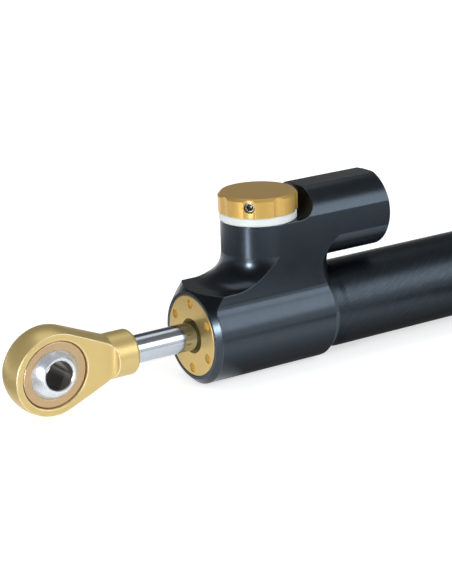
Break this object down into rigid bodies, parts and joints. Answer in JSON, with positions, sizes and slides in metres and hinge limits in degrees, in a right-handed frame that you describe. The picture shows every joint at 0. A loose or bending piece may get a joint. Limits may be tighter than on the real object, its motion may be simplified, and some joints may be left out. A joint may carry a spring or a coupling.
{
  "type": "motorcycle steering damper",
  "caption": "Adjustable motorcycle steering damper: a tube with a milled head block, a damping knob, a side reservoir and a rod that ends in a spherical bearing.",
  "frame": {"origin": "centre of the spherical bearing's ball in the rod eye, with the rod 5 mm short of fully pushed in", "axes": "+X along the damper from the rod eye to the tube's closed end, +Z from the tube to the damping knob"},
  "size_m": [0.1812, 0.028, 0.0518],
  "materials": {
    "black_anodised": "satin black anodised",
    "gold_anodised": "satin gold anodised",
    "pale_gold_anodised": "satin pale gold anodised",
    "plain_aluminium": "machined",
    "polished_chrome": "ground and polished",
    "polished_steel": "polished",
    "dark_steel": "blackened",
    "bronze": "turned bronze",
    "white_nylon": "matt white",
    "seal_rubber": "matt black",
    "seal_plastic": "filled low-friction plastic"
  },
  "bodies": {
    "damper_body": {"head_block": "black_anodised", "cylinder_tube": "black_anodised", "tube_o_ring": "seal_rubber", "rear_plug": "black_anodised", "rear_plug_o_ring": "seal_rubber", "gland_cap": "gold_anodised", "gland_o_ring": "seal_rubber", "rod_wiper": "seal_rubber", "rod_seal": "seal_rubber", "rod_bush": "bronze", "spindle_bush": "bronze", "needle_seat": "bronze", "index_ring": "white_nylon", "detent_ball": "polished_steel", "detent_spring": "polished_steel", "reservoir_cap": "black_anodised", "reservoir_cap_o_ring": "seal_rubber", "fill_screw": "polished_steel", "reservoir_circlip": "dark_steel"},
    "piston_band": {"piston_ring": "seal_plastic"},
    "rod": {"piston_rod": "polished_chrome", "rod_eye": "pale_gold_anodised", "bearing_race": "bronze", "piston": "plain_aluminium", "piston_shims": "polished_steel", "piston_nut": "polished_steel"},
    "ball": {"bearing_ball": "polished_steel"},
    "knob": {"adjuster_knob": "gold_anodised", "knob_set_screw": "dark_steel", "adjuster_spindle": "polished_steel", "spindle_o_ring": "seal_rubber"},
    "needle": {"adjuster_needle": "polished_steel"},
    "floating_piston": {"free_piston": "plain_aluminium", "free_piston_o_ring": "seal_rubber"}
  },
  "joints": [
    {"name": "rod_slide", "type": "slide", "parent": "damper_body", "child": "piston_band", "axis": [-1, 0, 0], "range_m": [-0.005, 0.07]},
    {"name": "rod_spin", "type": "hinge", "parent": "piston_band", "child": "rod", "pos_m": [0, 0, 0], "axis": [1, 0, 0], "continuous": true},
    {"name": "ball_tilt", "type": "hinge", "parent": "rod", "child": "ball", "pos_m": [0, 0, 0], "axis": [0, 0, 1], "range_deg": [-12, 12]},
    {"name": "knob_turn", "type": "hinge", "parent": "damper_body", "child": "knob", "pos_m": [0.069, 0, 0], "axis": [0, 0, 1], "range_deg": [-165, 165]},
    {"name": "needle_lift", "type": "slide", "parent": "damper_body", "child": "needle", "axis": [0, 0, 1], "range_m": [-0.00046, 0.00046]},
    {"name": "floating_piston_slide", "type": "slide", "parent": "damper_body", "child": "floating_piston", "axis": [-1, 0, 0], "range_m": [-0.00087, 0.01216]}
  ],
  "couplings": [
    {"joint": "needle_lift", "follows": "knob_turn", "m_per_rad": 0.00015915},
    {"joint": "floating_piston_slide", "follows": "rod_slide", "ratio": 0.17361}
  ]
}
